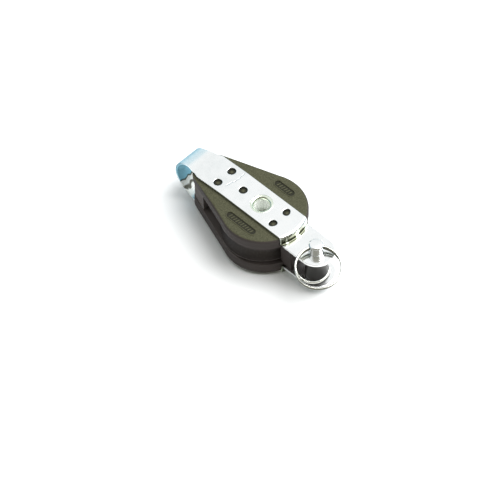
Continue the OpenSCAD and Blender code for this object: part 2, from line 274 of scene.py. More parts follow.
class Graph:
    """A node tree under construction."""

    def __init__(self, tree: NodeTree) -> None:
        """Start on an existing tree."""
        self.tree = tree

    def node(self, kind: str, inputs: dict[str | int, Any] | None = None, **settings: Any) -> Node:
        """Make a node.

        Args:
            kind: The node's type.
            inputs: The values or links of its sockets, by name or place.
            settings: Its properties, set first.

        Returns:
            The new node.
        """
        node = self.tree.nodes.new(kind)
        for name, value in settings.items():
            setattr(node, name, value)
        for key, value in (inputs or {}).items():
            self.feed(node.inputs[key], value)
        return node

    def feed(self, socket: NodeSocket, value: Any) -> None:
        """Link a socket to a term or an output, or give it a plain value."""
        if isinstance(value, Term):
            self.tree.links.new(value.socket, socket)
        elif isinstance(value, NodeSocket):
            self.tree.links.new(value, socket)
        else:
            socket.default_value = value

    def math(self, name: str, *values: "Term | float") -> Term:
        """Return the result of one maths operation on terms and numbers."""
        node = self.node("ShaderNodeMath", dict(enumerate(values)), operation=name)
        return Term(self, node.outputs[0])

    def axes(self, place: NodeSocket) -> list[Term]:
        """Return the three parts of a vector."""
        parts = self.node("ShaderNodeSeparateXYZ", {0: place})
        return [Term(self, output) for output in parts.outputs]

    def tint(self, share: "Term | float", first: Any, second: Any) -> NodeSocket:
        """Mix two colours.

        Args:
            share: How much of the second colour there is.
            first: A colour or a colour socket.
            second: The other one.

        Returns:
            The mixed colour's socket.
        """
        node = self.node("ShaderNodeMix", data_type="RGBA")
        self.feed(node.inputs[0], share)
        for socket, colour in ((node.inputs[6], first), (node.inputs[7], second)):
            self.feed(socket, (*colour, 1) if isinstance(colour, tuple) else colour)
        return node.outputs[2]


class Shader(Graph):
    """A material's node graph with the surface's own coordinates in millimetres."""

    def __init__(self, name: str, colour: Colour = (0.0, 0.0, 0.0)) -> None:
        """Start a material with a principled surface of one colour."""
        self.material = bpy.data.materials.new(name)
        self.material.use_nodes = True
        super().__init__(self.material.node_tree)
        self.tree.nodes.clear()
        self.colour: Any = colour
        self.surface = self.node("ShaderNodeBsdfPrincipled")
        self.node("ShaderNodeOutputMaterial", {"Surface": self.surface.outputs[0]})
        coordinates = self.node("ShaderNodeTexCoord")
        scaled = self.node("ShaderNodeVectorMath", {0: coordinates.outputs["Object"], "Scale": 1 / MM},
                           operation="SCALE")
        self.place = scaled.outputs[0]
        self.x, self.y, self.z = self.axes(self.place)

    def noise(self, period: float | Spot, detail: float = 2.0, rough: float = 0.5) -> Term:
        """Return noise of about 0 to 1.

        Args:
            period: Its size in millimetres, the same all round or one for each axis.
            detail: Octaves of finer noise.
            rough: Strength of the finer octaves.

        Returns:
            The noise as a term.
        """
        periods = period if isinstance(period, tuple) else (period,) * 3
        scaled = self.node("ShaderNodeVectorMath", {0: self.place, 1: tuple(1 / p for p in periods)},
                           operation="MULTIPLY")
        node = self.node("ShaderNodeTexNoise", {"Vector": scaled.outputs[0], "Scale": 1.0, "Detail": detail,
                                                "Roughness": rough})
        return Term(self, node.outputs[0])

    def coat(self, share: "Term | float", colour: Colour) -> None:
        """Lay a share of a colour over the surface's colour."""
        self.colour = self.tint(share, self.colour, colour)

    def bump(self, height: Term, depth: float) -> None:
        """Raise the surface by a height of 0 to 1 times a depth in millimetres."""
        normal = self.surface.inputs["Normal"]
        node = self.node("ShaderNodeBump", {"Height": height, "Distance": depth * MM, "Strength": 1.0})
        if normal.links:
            self.feed(node.inputs["Normal"], normal.links[0].from_socket)
        self.feed(normal, node.outputs[0])

    def dull(self, shine: float) -> None:
        """Weaken the plastic's reflection to a share of the usual one."""
        self.surface.inputs["Specular IOR Level"].default_value = shine / 2

    def dress(self, **values: Any) -> Material:
        """Feed the colour and the named sockets, with _ for a space, and return the material."""
        colour = (*self.colour, 1) if isinstance(self.colour, tuple) else self.colour
        for name, value in {"base_color": colour, **values}.items():
            self.feed(self.surface.inputs[name.replace("_", " ").title()], value)
        return self.material


# --- finishes


@dataclass(frozen=True)
class Steel:
    """Polished stainless steel with fine wipe marks and a faint unevenness.

    Attributes:
        name: The material's name.
        pale: Its brightest colour.
        dull: Its colour in the uneven patches.
        gloss: Roughness where it is smoothest.
        haze: How much rougher the patches are.
        marks: Depth of the wipe marks, in millimetres.
        wipe: Size of the wipe marks along the three axes, in millimetres.
    """

    name: str
    pale: Colour = (0.93, 0.94, 0.94)
    dull: Colour = (0.84, 0.86, 0.86)
    gloss: float = 0.10
    haze: float = 0.10
    marks: float = 0.004
    wipe: Spot = (9.0, 0.35, 0.35)

    def surface(self) -> tuple[Shader, Term]:
        """Return a shader with the plain steel's colour and marks, and its roughness."""
        shader = Shader(self.name, self.pale)
        patches = shader.noise(7.0, 4.0, 0.55)
        wipes = shader.noise(self.wipe, 3.0, 0.6)
        shader.bump(wipes, self.marks)
        shader.bump(shader.noise(3.5), self.marks * 2)
        shader.coat(patches.step(0.35, 0.75) * 0.8 + wipes * 0.2, self.dull)
        return shader, patches * self.haze + wipes * (self.haze / 2) + self.gloss

    def material(self) -> Material:
        """Return the finish as a material."""
        shader, rough = self.surface()
        return shader.dress(roughness=rough, metallic=1.0)


@dataclass(frozen=True)
class AxleSteel(Steel):
    """The axle's turned steel, polished on the flare and satin down the bore, where painted light gives a
    pale, less metallic lining that fades with depth.
    """

    bore: Colour = (0.94, 0.96, 0.93)
    fade: Point = (7.0, 14.0)

    def material(self) -> Material:
        """Return the finish as a material."""
        shader, rough = self.surface()
        radius = shader.x.hypot(shader.y)
        depth = SIZES.leg_out - shader.z.size()
        # Painted light down the bore: a pale, less metallic colour, strongest near the mouth and fading with
        # depth.
        within = radius.step(SIZES.axle_bore_r + 0.5, SIZES.axle_bore_r + 0.05) * depth.step(0.8, 2.2)
        within = within * (1 - depth.step(*self.fade) * 0.85)
        shader.coat(within, self.bore)
        return shader.dress(roughness=rough + within * 0.3, metallic=1 - within)


@dataclass(frozen=True)
class WireSteel(Steel):
    """The split ring's drawn wire, bright along its crown, with painted dark reflections down its flanks."""

    flank: Colour = (0.07, 0.075, 0.045)
    flank_from: Point = (0.22, 0.50)
    flank_to: Point = (0.80, 0.68)

    def material(self) -> Material:
        """Return the finish as a material."""
        shader, rough = self.surface()
        ahead, aside, _ = SIZES.ring_axes
        centre = Vector(SIZES.cross_hole) + ahead * SIZES.ring_reach
        x, y, z = shader.x - centre.x, shader.y - centre.y, shader.z - centre.z
        along, across = (x * way.x + y * way.y + z * way.z for way in (ahead, aside))
        off = (along.hypot(across) - SIZES.ring_r).size()
        # Painted dark reflections down both flanks of the wire, which is also made rougher there.
        flank = off.step(*self.flank_from) * off.step(*self.flank_to)
        shader.coat(flank * 0.9, self.flank)
        return shader.dress(roughness=rough + flank * 0.2, metallic=1.0)


@dataclass(frozen=True)
class StrapSteel(Steel):
    """The strap's steel, with a curved crease mark, a painted cold blue reflection round the head, and
    painted reflections in its eye and on the step.

    Attributes:
        crease: Colour of the crease's painted dark reflection, which lies across the strap at crease_x.
        cyan: Painted reflection tint where the head begins to turn, with a painted blue reflection further
            round it.
        inner: Colour of the painted reflection in the eye's inside, with a painted highlight below bright_z.
        bands: Height and half width of each dark reflection in the eye.
        green: Painted reflection tint on the tail's step.
        shine: How much metal is left where the painted reflections tint the head.
    """

    crease: Colour = (0.42, 0.46, 0.47)
    crease_x: float = -22.0
    cyan: Colour = (0.62, 0.80, 0.86)
    blue: Colour = (0.17, 0.38, 0.48)
    inner: Colour = (0.27, 0.63, 0.80)
    bright: Colour = (0.95, 0.97, 0.93)
    bright_z: float = -6.6
    bands: tuple[Point, ...] = ((-6.7, 0.15), (-9.8, 0.25))
    green: Colour = (0.74, 0.82, 0.66)
    dark: Colour = (0.05, 0.05, 0.02)
    shine: float = 0.3

    def material(self) -> Material:
        """Return the finish as a material."""
        shader, rough = self.surface()
        self._mark(shader)
        tinted = self._head(shader)
        self._step(shader)
        return shader.dress(roughness=rough + tinted * 0.25, metallic=1 - tinted * (1 - self.shine))

    def _mark(self, shader: Shader) -> None:
        """Draw the faint crease across the upper leg: a shallow bump, with a painted dark reflection along
        it.
        """
        y = shader.y
        wave = (y * 0.55).sin() * 0.45 + (y * 1.9).sin() * 0.12 + y * 0.11
        line = (shader.x - self.crease_x - wave).size()
        reach = (y + 5.5).step(0.0, 2.0) * (9.4 - y).step(0.0, 1.0) * shader.z.step(10.0, 12.0)
        strength = shader.noise(2.2).step(0.25, 0.6) * 0.6 + 0.3
        mark = line.step(0.42, 0.10) * reach * strength
        # Painted dark reflection along the crease; the bump after it shapes the crease itself.
        shader.coat(mark, self.crease)
        shader.bump(1 - mark, 0.06)

    def _head(self, shader: Shader) -> Term:
        """Paint reflections on the head and in its eye, and return where they are painted."""
        x, z = shader.x, shader.z
        within = (x - SIZES.crown_x).hypot(z).step(SIZES.crown_r - 0.9, SIZES.crown_r - 1.3)
        within = within * (-44.5 - x).step(0.0, 4.0)
        head = (-46.0 - x).step(0.0, 9.0) * z.step(-9.0, 1.0)
        turned = (-50.5 - x).step(0.0, 6.0) * z.step(-7.0, 3.0)
        # Painted reflections of a blue surrounding: cyan where the head turns, blue further round and in the
        # eye, a painted highlight below bright_z and dark reflection bands.
        shader.coat(head * 0.8, self.cyan)
        shader.coat(turned, self.blue)
        shader.coat(within * 0.95, self.inner)
        wavy = z + (shader.noise((5.0, 3.0, 5.0), 1.0) - 0.5) * 3.0
        shader.coat(within * (self.bright_z - wavy).step(0.0, 0.4), self.bright)
        for height, half in self.bands:
            shader.coat(within * (wavy - height).size().step(half + 0.5, half) * 0.9, self.dark)
        return within.most(head)

    def _step(self, shader: Shader) -> None:
        """Paint a pale green reflection on the wall and dark reflections along the foot of the step behind
        the sheave.
        """
        radius = (shader.x - SIZES.cheek_x).hypot(shader.y)
        tail = shader.x.step(12.0, 16.0)
        wall = radius.step(22.5, 23.5) * radius.step(25.9, 25.3) * shader.z.size().step(14.6, 13.2) * tail
        foot = radius.step(24.5, 24.8) * radius.step(26.4, 25.9) * tail
        foot = foot * shader.noise((60.0, 4.2, 60.0), 1.0).step(0.44, 0.54)
        # Painted reflections: pale green on the step's wall, dark streaks along its foot.
        shader.coat(wall * 0.8, self.green)
        shader.coat(foot * 0.9, self.dark)


@dataclass(frozen=True)
class Nylon:
    """Fine-grained moulded nylon: olive-grey on the flat faces, with painted shade making it nearly black
    down the sides.
    """

    name: str
    face: Colour = (0.029, 0.029, 0.013)
    worn: Colour = (0.105, 0.104, 0.062)
    side: Colour = (0.050, 0.041, 0.038)
    slot: Colour = (0.115, 0.098, 0.092)
    hollow: Colour = (0.010, 0.010, 0.006)
    shine: float = 0.3

    def material(self) -> Material:
        """Return the finish as a material."""
        shader = Shader(self.name, self.face)
        height = shader.z.size()
        grain = shader.noise(0.45, 3.0, 0.7)
        speckle = shader.noise(0.8, 3.0, 0.75).step(0.28, 0.72)
        cloud = shader.noise(5.0, 3.0)
        inside_badges = self._badges(shader)
        leant = (-SIZES.lean_start - shader.x).most(0.0) * tand(SIZES.lean_deg)
        flat = (height + leant).step(SIZES.leg_in - 0.45, SIZES.leg_in - 0.08).most(inside_badges)
        shader.coat(speckle * 0.62 + grain * 0.15 + cloud * 0.1, self.worn)
        # Painted shade on the sunk floors of the badges.
        shader.coat(inside_badges * height.step(SIZES.leg_in - 0.16, SIZES.leg_in - 0.24) * 0.8, self.hollow)
        # Painted shade round the pegs, in the gap inside the strap's holes.
        shader.coat(self._peg_rim_shade(shader) * 0.9, self.hollow)
        # Painted shade: everything off the flat faces and badges takes the darker side colour.
        shader.coat(1 - flat, self.side)
        # Painted light: the cheeks' faces in the slot towards the head are lightened.
        between = height.step(SIZES.slot_half + 0.25, SIZES.slot_half + 0.05)
        shader.coat(between * (8.0 - shader.x).step(0.0, 6.0), self.slot)
        shader.bump(grain, 0.045)
        shader.bump(cloud, 0.05)
        shader.dull(self.shine)
        return shader.dress(roughness=0.62 - flat * 0.06 - grain * 0.12)

    @staticmethod
    def _peg_rim_shade(shader: Shader) -> Term:
        """Return 1 towards the rims of the pegs, where painted shade darkens the gap in the strap's holes,
        and 0 elsewhere.
        """
        nearest = reduce(Term.least, [(shader.x - x).hypot(shader.y - y) for x, y in PEGS])
        return nearest.step(0.2, 1.4) * nearest.step(2.5, 2.3)

    @staticmethod
    def _badges(shader: Shader) -> Term:
        """Return 1 inside the two blank badges and 0 elsewhere."""
        found = []
        for badge in BADGES:
            along = ((shader.x - badge.x).size() - (badge.length - badge.width) / 2).most(0.0)
            edge = badge.width / 2 - badge.rim
            found.append(along.hypot(shader.y - badge.y).step(edge + 0.1, edge - 0.25))
        return reduce(Term.most, found)


@dataclass(frozen=True)
class Acetal:
    """Turned or moulded acetal with faint machining rings about an upright axis."""

    name: str
    colour: Colour
    faded: Colour
    centre_x: float = 0.0
    rough: float = 0.34
    gloss: float = 0.0

    def material(self) -> Material:
        """Return the finish as a material."""
        shader = Shader(self.name, self.colour)
        radius = (shader.x - self.centre_x).hypot(shader.y)
        rings = ((radius + shader.z) * 9.0).sin() * 0.5 + 0.5
        scuff = shader.noise((1.2, 1.2, 3.0), 4.0, 0.65)
        shader.bump(rings * 0.3 + scuff * 0.7, 0.012)
        shader.dull(0.5)
        shader.coat(scuff.step(0.45, 0.8) * 0.8, self.faded)
        return shader.dress(roughness=scuff * 0.16 + self.rough, coat_weight=self.gloss)


# --- meshes and objects


class Draft:
    """A mesh under construction, in millimetres, made of closed rings and flat caps."""

    def __init__(self) -> None:
        """Start empty."""
        self.spots: list[Spot] = []
        self.faces: list[tuple[int, ...]] = []

    def ring(self, spots: Sequence[Spot]) -> list[int]:
        """Add the spots of a ring and return their places in the mesh."""
        first = len(self.spots)
        self.spots.extend(spots)
        return list(range(first, len(self.spots)))

    def bridge(self, one: Sequence[int], other: Sequence[int]) -> None:
        """Join two closed rings of as many points with quads."""
        count = len(one)
        for i in range(count):
            j = (i + 1) % count
            self.faces.append((one[i], one[j], other[j], other[i]))

    def tower(self, rings: Sequence[Sequence[Spot]]) -> tuple[list[int], list[int]]:
        """Join rings one after another and return the first and the last."""
        placed = [self.ring(r) for r in rings]
        for one, other in zip(placed, placed[1:]):
            self.bridge(one, other)
        return placed[0], placed[-1]

    def wall(self, loop: Sequence[Point], rows: Sequence[Point]) -> tuple[list[int], list[int]]:
        """Join copies of a loop, drawn in by a distance and at a height for each row."""
        ways = outward(loop)
        return self.tower([[(x - n[0] * drawn, y - n[1] * drawn, height) for (x, y), n in zip(loop, ways)]
                           for drawn, height in rows])

    def cap(self, outline: Sequence[int], holes: Sequence[Sequence[int]] = (),
            lattice: Sequence[Point] = (), height: float | None = None) -> None:
        """Fill a flat outline round its holes.

        Args:
            outline: The ring to fill.
            holes: Rings to leave open.
            lattice: Points inside, which get the height below.
            height: The third coordinate of the lattice's points.
        """
        inner = self.ring([(x, y, height) for x, y in lattice]) if lattice else []
        loops = [list(outline), *map(list, holes)]
        members = [i for loop in loops for i in loop] + inner
        flat = [Vector(self.spots[i][:2]) for i in members]
        edges, first = [], 0
        for loop in loops:
            edges += [(first + i, first + (i + 1) % len(loop)) for i in range(len(loop))]
            first += len(loop)
        _, _, faces, origin, _, _ = geometry.delaunay_2d_cdt(flat, edges, [], 0, 1e-6)
        rims = [[self.spots[i][:2] for i in loop] for loop in loops]
        for face in faces:
            corners = [members[origin[i][0]] for i in face]
            middle = sum((Vector(self.spots[i][:2]) for i in corners), Vector((0, 0))) / len(corners)
            if inside(middle, rims[0]) and not any(inside(middle, rim) for rim in rims[1:]):
                self.faces.append(tuple(corners))

    def lathe(self, profile: Sequence[Point], centre: Point = (0.0, 0.0), count: int = 96) -> "Draft":
        """Turn a profile of radii and heights about an upright axis; a radius of 0 closes it there."""
        placed = [self.ring([(x, y, height) for x, y in circle(centre, radius, count)] if radius > 0
                            else [(*centre, height)]) for radius, height in profile]
        closed = profile[0][0] > 0
        for one, other in zip(placed, placed[1:] + placed[:1] if closed else placed[1:]):
            if len(one) == 1 or len(other) == 1:
                tip, rim = (one, other) if len(one) == 1 else (other, one)
                self.faces += [(rim[i], rim[(i + 1) % count], tip[0]) for i in range(count)]
            else:
                self.bridge(one, other)
        return self

    def piece(self, name: str, material: Material, bend: Callable[[Spot], Spot] | None = None,
              sharp: float = 38.0) -> Object:
        """Write the draft as an object with smooth shading between its sharp edges.

        Args:
            name: The object's name.
            material: Its finish.
            bend: Where each spot goes, if the draft is a flat pattern.
            sharp: Angle from which an edge is sharp.

        Returns:
            The object, at the origin, with its normals outwards.
        """
        mesh = mesh_of(name, [bend(s) for s in self.spots] if bend else self.spots, self.faces)
        work = bmesh.new()
        work.from_mesh(mesh)
        bmesh.ops.remove_doubles(work, verts=work.verts, dist=1e-7)
        bmesh.ops.recalc_face_normals(work, faces=work.faces)
        work.to_mesh(mesh)
        work.free()
        mesh.materials.append(material)
        mesh.shade_smooth()
        mesh.set_sharp_from_angle(angle=math.radians(sharp))
        piece = stand(name, mesh)
        weighted = piece.modifiers.new("weighted", "WEIGHTED_NORMAL")
        weighted.keep_sharp = True
        weighted.weight = 90
        return evaluated(piece)


def mesh_of(name: str, spots: Sequence[Spot], faces: Sequence[tuple[int, ...]] = ()) -> Mesh:
    """Return a mesh of spots in millimetres."""
    mesh = bpy.data.meshes.new(name)
    mesh.from_pydata([[c * MM for c in spot] for spot in spots], [], faces)
    return mesh


def stand(name: str, data: Any) -> Object:
    """Put a mesh, a lamp or a camera into the scene as an object."""
    thing = bpy.data.objects.new(name, data)
    bpy.context.scene.collection.objects.link(thing)
    return thing


def evaluated(piece: Object) -> Object:
    """Turn what a piece's modifiers make into its plain mesh."""
    graph = bpy.context.evaluated_depsgraph_get()
    mesh = bpy.data.meshes.new_from_object(piece.evaluated_get(graph), depsgraph=graph)
    piece.modifiers.clear()
    piece.data = mesh
    return piece


def cut(piece: Object, cutter: Object) -> None:
    """Cut one piece out of another and throw the cutter away."""
    change = piece.modifiers.new("cut", "BOOLEAN")
    change.operation = "DIFFERENCE"
    change.solver = "EXACT"
    change.object = cutter
    evaluated(piece)
    bpy.data.objects.remove(cutter)


def mount(piece: Object, body: str, slot: Slot, *nodes: str) -> None:
    """Let a finished piece ride on its body and stand for its nodes."""
    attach(piece, body)
    if nodes:
        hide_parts(*nodes)
    LOG.info("%s rides on %s, %d faces", piece.name, body, len(piece.data.polygons))


def dress(node: str, material: Material, slot: Slot) -> None:
    """Give a node of the frame its finish."""
    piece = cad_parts[node]
    piece.data.materials.clear()
    piece.data.materials.append(material)


class Pattern(Graph):
    """A Geometry Nodes tree with named inputs, run once on a carrier."""

    KINDS = {float: "Float", int: "Int", Material: "Material", Object: "Object"}

    def __init__(self, name: str, values: dict[str, Any]) -> None:
        """Start a tree whose inputs are named by the values they take."""
        super().__init__(bpy.data.node_groups.new(name, "GeometryNodeTree"))
        face = self.tree.interface
        face.new_socket("Geometry", in_out="INPUT", socket_type="NodeSocketGeometry")
        for label, value in values.items():
            face.new_socket(label, in_out="INPUT", socket_type="NodeSocket" + self.KINDS[type(value)])
        face.new_socket("Geometry", in_out="OUTPUT", socket_type="NodeSocketGeometry")
        self.values = values
        self.entry = self.node("NodeGroupInput")

    def term(self, label: str) -> Term:
        """Return a named input as a term."""
        return Term(self, self.entry.outputs[label])

    def make(self, kind: str, inputs: dict[str | int, Any] | None = None, output: str | int = 0) -> Term:
        """Make a geometry node and return one of its outputs."""
        return Term(self, self.node("GeometryNode" + kind, inputs).outputs[output])

    def spot(self, x: Any, y: Any, z: Any) -> Term:
        """Return a place made of three terms or numbers."""
        return Term(self, self.node("ShaderNodeCombineXYZ", {0: x, 1: y, 2: z}).outputs[0])

    def run(self, name: str, shape: Term, points: Sequence[Spot] = (), smooth: bool = True) -> Object:
        """End the tree and run it on a carrier of loose points.

        Args:
            name: The object's name.
            shape: The shape, which is realized and given its finish.
            points: The carrier's points, in millimetres.
            smooth: Whether its faces are shaded smooth.

        Returns:
            The object with the result as its plain mesh.
        """
        real = self.make("RealizeInstances", {0: shape})
        shaded = self.make("SetShadeSmooth", {0: real, "Shade Smooth": smooth})
        dressed = self.make("SetMaterial", {0: shaded, "Material": self.term("Finish")})
        self.node("NodeGroupOutput", {0: dressed})
        carrier = stand(name, mesh_of(name, points))
        modifier = carrier.modifiers.new(name, "NODES")
        modifier.node_group = self.tree
        for item in self.tree.interface.items_tree:
            if item.in_out == "INPUT" and item.name in self.values:
                modifier[item.identifier] = self.values[item.name]
        return evaluated(carrier)


# --- strap


@dataclass
class Route:
    """A line of straights and bends in the XZ plane, walked from its start.

    Attributes:
        x: Where it has come to along the block.
        z: Its height there.
        heading: Its direction there.
        legs: The parts laid so far: start length, x, z, heading, length and curvature.
        length: Length of all parts.
    """

    x: float
    z: float
    heading: float
    legs: list[tuple[float, ...]] = field(default_factory=list)
    length: float = 0.0

    def lay(self, length: float, turn: float = 0.0) -> None:
        """Add a part of a length that turns by an angle."""
        curve = math.radians(turn) / length
        self.legs.append((self.length, self.x, self.z, self.heading, length, curve))
        self.x, self.z, self.heading = self.at(self.length + length)
        self.length += length

    def bend(self, radius: float, turn: float) -> None:
        """Add a bend of a radius that turns by an angle."""
        self.lay(radius * math.radians(abs(turn)), turn)

    def at(self, length: float) -> tuple[float, float, float]:
        """Return x, z and the heading at a length from the start."""
        part = next((p for p in reversed(self.legs) if p[0] <= length), self.legs[0])
        first, x, z, heading, _, curve = part
        run, way = length - first, math.radians(heading)
        if abs(curve) < 1e-9:
            return x + run * math.cos(way), z + run * math.sin(way), heading
        end = way + run * curve
        return (x + (math.sin(end) - math.sin(way)) / curve, z - (math.cos(end) - math.cos(way)) / curve,
                math.degrees(end))


@dataclass
class Strap:
    """The steel strap: a flat pattern with holes, bent round the head and stepped at the tail."""

    finish: Steel
    edge: float = 0.24
    step_r: float = 24.8
    top_r: float = 1.7
    foot_r: float = 0.8
    fold_r: float = 12.0
    crown_half: float = 7.3
    neck_start: float = -39.5
    neck_end: float = -52.0
    peg_hole_r: float = 2.4
    pin_gap: float = 0.08
    flare_gap: float = 0.04
    route: Route = field(init=False)

    def __post_init__(self) -> None:
        """Lay the middle line."""
        s, half = SIZES, SIZES.strap_t / 2
        ear, leg, tip = s.ear_out - half, s.leg_out - half, s.ear_x + s.strap_w / 2
        foot_x, top_x = s.cheek_x + self.step_r + self.foot_r, s.cheek_x + self.step_r - self.top_r
        fold = self.fold_r * tand(s.lean_deg / 2)
        crown = s.crown_r - half
        slope = (leg - crown * sind(90 + s.lean_deg)) / sind(s.lean_deg) - fold
        self.route = route = Route(tip, ear, 180.0)
        parts = [(route.lay, tip - foot_x, 0.0),
                 (route.bend, self.foot_r + half, -90.0),
                 (route.lay, s.leg_out - self.top_r - s.ear_out - self.foot_r, 0.0),
                 (route.bend, self.top_r - half, 90.0),
                 (route.lay, top_x + s.lean_start - fold, 0.0),
                 (route.bend, self.fold_r, s.lean_deg),
                 (route.lay, slope, 0.0)]
        for add, size, turn in [*parts, (route.bend, crown, 180 - 2 * s.lean_deg), *reversed(parts)]:
            add(size, turn)

    def length_at(self, x: float, lower: bool) -> float:
        """Return the length along the pattern at a place along one of the legs."""
        low, high = 0.0, self.route.length / 2
        while high - low > 1e-5:
            middle = (low + high) / 2
            if self.route.at(middle)[0] > x:
                low = middle
            else:
                high = middle
        return self.route.length - low if lower else low

    def half_width(self, length: float) -> float:
        """Return the strap's half width at a length along the pattern."""
        wide = SIZES.strap_w / 2
        end = min(length, self.route.length - length)
        if end < wide:
            return math.sqrt(max(0.0, wide**2 - (wide - end) ** 2))
        x = self.route.at(length)[0]
        t = min(1.0, max(0.0, (x - self.neck_start) / (self.neck_end - self.neck_start)))
        return self.crown_half + (wide - self.crown_half) * (1 - t) ** 1.7

    def bend(self, spot: Spot) -> Spot:
        """Take a spot of the flat pattern to its place on the strap, its step curved round the sheave."""
        length, y, out = spot
        x, z, heading = self.route.at(length)
        radius = x + cosd(heading - 90) * out - SIZES.cheek_x
        if x > 8:
            share = blend(12, 20, x) * (1 - blend(28.5, 35, x))
            radius += (math.sqrt(max(0.0, radius**2 - y**2)) - radius) * share
        return radius + SIZES.cheek_x, y, z + sind(heading - 90) * out

    def stations(self) -> list[float]:
        """Return the lengths at which the pattern has a line of points, denser in the bends."""
        margin = SIZES.strap_w / 2 + 0.3
        found = []
        for first, _, _, _, length, curve in self.route.legs:
            step = 2.0 if abs(curve) < 1e-9 else (0.9 if length > 20 else 0.28)
            found += spread(first, first + length, step)[:-1]
        return [u for u in found if margin < u < self.route.length - margin]

    def holes(self) -> list[tuple[Point, float, bool]]:
        """Return the centre, the radius and whether it is the axle's, for each hole in the pattern."""
        wide = SIZES.strap_w / 2
        found = [((end, 0.0), SIZES.pin_r + self.pin_gap, False) for end in (wide, self.route.length - wide)]
        for lower in (False, True):
            found.append(((self.length_at(0.0, lower), 0.0), SIZES.flare_r + self.flare_gap, True))
            found += [((self.length_at(x, lower), y), self.peg_hole_r, False) for x, y in PEGS]
        return found

    def build(self) -> None:
        """Make the strap."""
        draft, half, edge = Draft(), SIZES.strap_t / 2, self.edge
        wide, stations, holes = SIZES.strap_w / 2, self.stations(), self.holes()
        loop = arc((wide, 0), wide, 270, 90, 36) + [(u, self.half_width(u)) for u in stations]
        loop += arc((self.route.length - wide, 0), wide, 90, -90, 36)
        loop += [(u, -self.half_width(u)) for u in reversed(stations)]
        rows = mirrored([(edge * (1 - sind(a)), half - edge * (1 - cosd(a))) for a in (0, 30, 60, 90)])
        top, bottom = draft.wall(loop[::-1], rows)
        countersink = [(0.0, half), (-1.1, -half + 0.2), (-1.1, -half)]
        rims = [draft.tower([[(*p, height) for p in circle(centre, radius + wider, 48)]
                             for wider, height in (countersink if axle else rows)])
                for centre, radius, axle in holes]
        lattice = [(u, v) for u in stations
                   for v in spread(-0.88 * self.half_width(u), 0.88 * self.half_width(u), 1.3)
                   if all(math.dist((u, v), c) > r + 0.7 for c, r, _ in holes)]
        draft.cap(top, [first for first, _ in rims], lattice, half)
        draft.cap(bottom, [last for _, last in rims], lattice, -half)
        mount(draft.piece("strap_bent", self.finish.material(), self.bend), "frame", Slot.STRAP, "strap")


# --- cheeks


